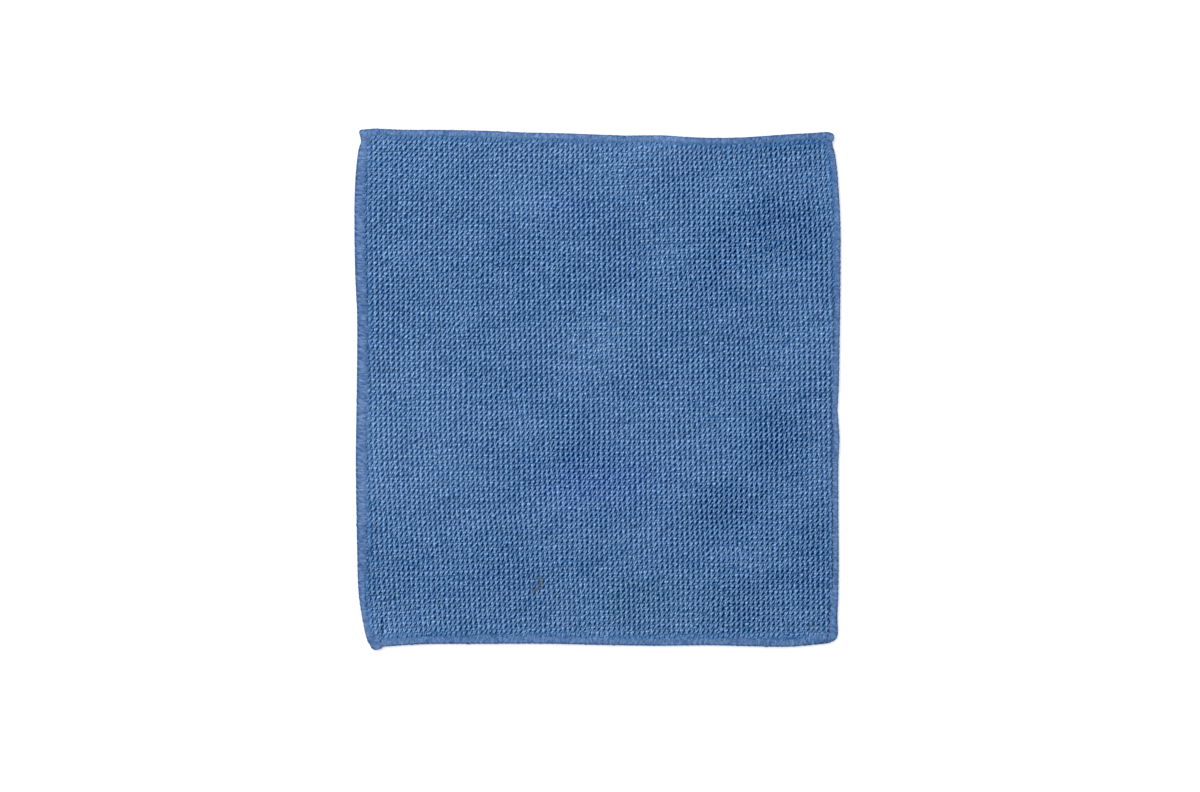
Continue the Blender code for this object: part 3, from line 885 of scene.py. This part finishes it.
def ground_sheet(name, material):
    """The thin sheet of laid-in yarn inside the knit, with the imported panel's outline."""
    builder = bmesh.new()
    builder.from_mesh(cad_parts["knit_panel"].data)
    bmesh.ops.remove_doubles(builder, verts=builder.verts, dist=1e-6)
    bmesh.ops.subdivide_edges(builder, edges=builder.edges, cuts=1, use_grid_fill=True)
    bmesh.ops.triangulate(builder, faces=builder.faces)
    mesh = bpy.data.meshes.new(name)
    builder.to_mesh(mesh)
    builder.free()
    count = len(mesh.vertices)
    places = np.empty(count * 3)
    mesh.vertices.foreach_get("co", places)
    places = places.reshape(count, 3) / MM
    x, y = places[:, 0], places[:, 1]
    middle = read_grid(MIDDLE, x, y)
    upper = places[:, 2] > middle
    low, high = levels(x, y)
    share = np.where(upper, GROUND_HIGH, GROUND_LOW)
    places[:, 2] = low + (high - low) * share
    mesh.vertices.foreach_set("co", (places * MM).astype(np.float32).ravel())
    uv = mesh.uv_layers.new(name="yarn")
    corner = np.empty(len(mesh.loops), np.int32)
    mesh.loops.foreach_get("vertex_index", corner)
    uv.data.foreach_set("uv", (places[corner][:, :2] * MM).astype(np.float32).ravel())
    # Painted shade: the ground is painted darker where the stitches stand free and their gaps open,
    # lighter where the overlock closes them
    painted_shade_where_free = (GROUND_HELD_LIFT - GROUND_FREE_LIFT) * freedom(x, y)
    lift = np.where(upper, GROUND_HELD_LIFT - painted_shade_where_free, GROUND_BACK_LIFT)
    for mark, values in marks_at(x, y, 1.0, lift).items():
        attribute = mesh.attributes.new(mark, "FLOAT", "POINT")
        attribute.data.foreach_set("value", values.astype(np.float32))
    mesh.shade_smooth()
    mesh.materials.clear()
    mesh.materials.append(material)
    mesh.update()
    piece = bpy.data.objects.new(name, mesh)
    bpy.context.scene.collection.objects.link(piece)
    return piece


# ---- The overlock

# A looper leg's path over one face of the band, from the inner border to the rim: share of the band from
# the outer edge, share of the half thickness, which way its crown looks (outwards and up), its width and
# how light it is: painted shade darkens the thread where it dives into the knit and where it turns round
# the rim
LegRing = namedtuple("LegRing", "inset level out up narrow light")
UPPER_LEG = rows_of(
    LegRing,
    (1.12, 0.72, -0.1, 0.95, 0.5, 1.0),
    (0.94, 0.94, -0.1, 1.0, 0.9, 1.0),
    (0.70, 0.95, 0.0, 1.0, 1.0, 1.0),
    (0.30, 1.01, 0.1, 1.0, 1.0, 1.0),
    (0.10, 0.80, 0.7, 0.7, 1.0, 0.85),
    (-0.01, 0.12, 1.0, 0.1, 0.95, 0.3),
)
LOWER_LEG = rows_of(
    LegRing,
    (1.04, 0.60, -0.5, 0.85, 0.8, 0.8),
    (0.80, 0.99, 0.0, 1.0, 1.0, 1.0),
    (0.24, 0.99, 0.1, 1.0, 1.0, 1.0),
    (0.0, 0.12, 1.0, 0.2, 1.0, 0.3),
)
LEG_SECTION = ((-1.0, 0.0), (-0.6, 0.78), (0.0, 1.0), (0.6, 0.78), (1.0, 0.0))
LEG_YARN_SIZE = (0.5, 1.2)
LEG_SHADE = 0.7  # how much painted shade darkens a leg's sides against its crown
LEG_LOOSE, LEG_ROUGH, LEG_END_LOOSE = 0.06, 0.04, 0.09  # how unevenly its rings, points and ends lie
RIM_DOTS_WITHIN = 0.15  # of the band from the outer edge
LEAST_THREAD_LEVEL = 0.02
THREAD_TONE_SPREAD = 0.025

# A knot or needle stitch swells and narrows along its length
BEAD_SWELL = (0.35, 0.85, 1.0, 0.85, 0.35)
BEAD_SIDES = 6
BEAD_YARN_SIZE = (0.4, 0.6)
BEAD_LOOSE_ALONG, BEAD_LOOSE_ACROSS = 0.1, 0.02
BEAD_SINK = 0.6  # how far its ends sink into the legs, as a share of its height
BEAD_SHADE = 0.4  # how much painted shade darkens its ends against its middle


def run_places(run, reach, inset):
    """Places on a run: so far along it, and so deep a share of its band from the outer edge."""
    outer = [np.interp(reach, run.reach, run.outer[:, axis]) for axis in (0, 1)]
    inner = [np.interp(reach, run.reach, run.inner[:, axis]) for axis in (0, 1)]
    x = outer[0] + (inner[0] - outer[0]) * inset
    y = outer[1] + (inner[1] - outer[1]) * inset
    top = np.interp(reach, run.reach, run.top)
    under = np.interp(reach, run.reach, run.under)
    band = np.hypot(inner[0] - outer[0], inner[1] - outer[1])
    return x, y, top, under, band


def thread_mesh(name, places, lift, kind, yarn_size, material):
    """One object from copies of a thread's form. places are their points' x, y and z."""
    count, rings, sides = places[0].shape
    points = np.stack(places, axis=-1).reshape(count, rings * sides, 3)
    tone = 1.0 + RANDOM.normal(0.0, THREAD_TONE_SPREAD, count)[:, None]
    marks = marks_at(points[:, :, 0], points[:, :, 1], tone, lift.reshape(count, -1))
    cells = np.stack((np.arange(count), np.full(count, kind)), axis=-1)
    return joined_mesh(name, points, tube(rings, sides), yarn_size, cells, marks, material)


def spread_along(run, spacing):
    """How many copies fit along a run, how far apart, and the place of each."""
    count = int(run.reach[-1] / spacing)
    pitch = run.reach[-1] / count
    return count, pitch, (np.arange(count) + 0.5) * pitch


def looper_legs(name, run, face, material):
    """Yarns side by side across one face of the band. face is 1 for the upper one, -1 for the lower."""
    table = UPPER_LEG if face > 0 else LOWER_LEG
    leg = LegRing(*[ring_column(table, name) for name in LegRing._fields])
    lateral, crown = side_column(LEG_SECTION, 0), side_column(LEG_SECTION, 1)
    count, pitch, start = spread_along(run, LEG_PITCH)
    shape = (count, len(table), len(LEG_SECTION))
    every_other = each(np.arange(count) % 2 == 0)
    slant = LEG_SLANT * np.where(every_other, 1.0, -1.0)
    loose = RANDOM.normal(0.0, LEG_LOOSE, (count, len(table), 1))
    reach = each(start) + slant * (0.5 - leg.inset) + loose
    reach = reach + lateral * leg.narrow * pitch / 2 * LEG_OVERLAP
    deep = (1 - crown) * LEG_THICKNESS + RANDOM.normal(0.0, LEG_ROUGH, shape)
    ends = RANDOM.normal(0.0, LEG_END_LOOSE, (count, 1, 1)) * (leg.inset > 1.0)
    inset = leg.inset + ends + 0 * reach
    band = run_places(run, reach, inset)[-1]
    x, y, top, under, _ = run_places(run, reach, inset + leg.out * deep / band)
    z = (top + under) / 2 + face * ((top - under) / 2 * leg.level - leg.up * deep)
    z = np.maximum(z, LEAST_THREAD_LEVEL)
    # Painted shade: a leg's sides darker than its crown, and every other leg darker where it turns round
    # the rim
    dots = np.where(every_other, RIM_DOT_SHADE, 0.0) * (leg.inset < RIM_DOTS_WITHIN)
    lift = THREAD_LIFT * (LEG_SHADE + (1 - LEG_SHADE) * crown) * (leg.light - dots)
    lift = (lift + RANDOM.normal(0.0, THREAD_SPECKS, shape)).clip(0.0, 1.0)
    return thread_mesh(name, (x, y, z), lift, 0.0, LEG_YARN_SIZE, material)


def beads(name, run, inset, level, size, material):
    """Small closed stitches laid along a run, one in every overlock stitch."""
    long, wide, high = size
    count, _, start = spread_along(run, OVERLOCK_PITCH)
    start = each(start + RANDOM.normal(0.0, BEAD_LOOSE_ALONG, count))
    travel = np.linspace(-1.0, 1.0, len(BEAD_SWELL))[None, :, None]
    swell = np.array(BEAD_SWELL)[None, :, None]
    turn = (np.arange(BEAD_SIDES) * 2 * np.pi / BEAD_SIDES)[None, None, :]
    reach = start + travel * long / 2 + 0 * turn
    inset = inset + RANDOM.normal(0.0, BEAD_LOOSE_ACROSS, (count, 1, 1)) + 0 * reach
    band = run_places(run, reach, inset)[-1]
    x, y, top, under, _ = run_places(run, reach, inset + np.cos(turn) * swell * wide / 2 / band)
    sink = (1 - swell) * high * BEAD_SINK * (level > 0)
    z = (top + under) / 2 + (top - under) / 2 * level + np.sin(turn) * swell * high / 2 - sink
    # Painted shade: a bead's ends darker than its middle
    lift = THREAD_LIFT * (BEAD_SHADE + (1 - BEAD_SHADE) * swell) + 0 * reach
    return thread_mesh(name, (x, y, z), lift, 1.0, BEAD_YARN_SIZE, material)


def joined(name, pieces):
    """Join pieces into the first one."""
    bpy.ops.object.select_all(action="DESELECT")
    for piece in pieces:
        piece.select_set(True)
    bpy.context.view_layer.objects.active = pieces[0]
    bpy.ops.object.join()
    pieces[0].name = name
    pieces[0].data.name = name
    return pieces[0]


def overlock(name, run, material):
    """All the thread of one run."""
    return joined(
        name,
        [
            looper_legs(name + "_upper", run, 1, material),
            looper_legs(name + "_lower", run, -1, material),
            beads(name + "_knots", run, KNOT_INSET, KNOT_LEVEL, KNOT_SIZE, material),
            beads(name + "_needle", run, NEEDLE_INSET, NEEDLE_LEVEL, NEEDLE_SIZE, material),
        ],
    )


# ---- The pieces

ground = ground_sheet("knit_ground", GROUND_YARN)
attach(ground, "root")
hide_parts("knit_panel")

on_ground = []
for bar, side in enumerate(("first", "second", "third")):
    chosen = np.flatnonzero(KEPT & (STITCH_WALE % 3 == bar))
    on_ground.append(face_stitches(f"face_stitches_{side}_bar", chosen, KNIT_YARN))
on_ground.append(back_stitches("back_stitches", np.flatnonzero(KEPT), KNIT_YARN))
for piece in on_ground:
    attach(piece, "root")

for name, run in (("left", LEFT), ("top", TOP), ("bottom_right", BOTTOM_RIGHT)):
    edging = overlock(f"overlock_thread_{name}", run, SEWING_THREAD)
    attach(edging, "root")
    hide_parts(f"overlock_{name}")
    on_ground.append(edging)


# ---- Floor, light and camera, in metres

FLOOR_REACH = 12.0
floor_mesh = bpy.data.meshes.new("floor")
corners = [(x * FLOOR_REACH, y * FLOOR_REACH, 0.0) for x, y in ((-1, -1), (1, -1), (1, 1), (-1, 1))]
floor_mesh.from_pydata(corners, [], [(0, 1, 2, 3)])
floor = bpy.data.objects.new("floor", floor_mesh)
bpy.context.scene.collection.objects.link(floor)

# Uncoated white paper on a light table: it stays white all round the cloth, with no shadow on it
paper, paper_tree, paper_shader = new_material("matt_white_paper")
paper_finish = {
    "Base Color": linear("#fcfcfc"),
    "Roughness": 1.0,
    "Emission Color": linear("#ffffff"),
    "Emission Strength": 0.22,
}
fill_sockets(paper_tree, paper_shader, paper_finish)
floor_mesh.materials.append(paper)

world = bpy.data.worlds.new("studio")
bpy.context.scene.world = world
world.use_nodes = True
studio = {"Color": linear("#ffffff"), "Strength": 0.8}
fill_sockets(world.node_tree, world.node_tree.nodes["Background"], studio)

# One large soft lamp beyond the cloth's top left corner
KEY_SIZE, KEY_POWER = 1.1, 22.0
KEY_PLACE, KEY_TILT_DEG, KEY_TURN_DEG = (-1.15, 1.15, 1.55), -46.0, 45.0
key_light = bpy.data.lights.new("key", "AREA")
key_light.size = KEY_SIZE
key_light.energy = KEY_POWER
key = bpy.data.objects.new("key", key_light)
key.location = KEY_PLACE
key.rotation_euler = (math.radians(KEY_TILT_DEG), 0.0, math.radians(KEY_TURN_DEG))
bpy.context.scene.collection.objects.link(key)

# Straight above the cloth, so far up that the picture is as wide as the photo's ground
LENS, SENSOR = 85.0, 36.0
FRAME_WIDTH = 0.876
CAMERA_X, CAMERA_Y = 0.00183, -0.0049
CLOTH_LEVEL = 0.002
camera_data = bpy.data.cameras.new("camera")
camera_data.lens = LENS
camera_data.sensor_width = SENSOR
camera = bpy.data.objects.new("camera", camera_data)
camera.location = (CAMERA_X, CAMERA_Y, FRAME_WIDTH * LENS / SENSOR + CLOTH_LEVEL)
bpy.context.scene.collection.objects.link(camera)
bpy.context.scene.camera = camera
bpy.context.scene.view_settings.view_transform = "Standard"
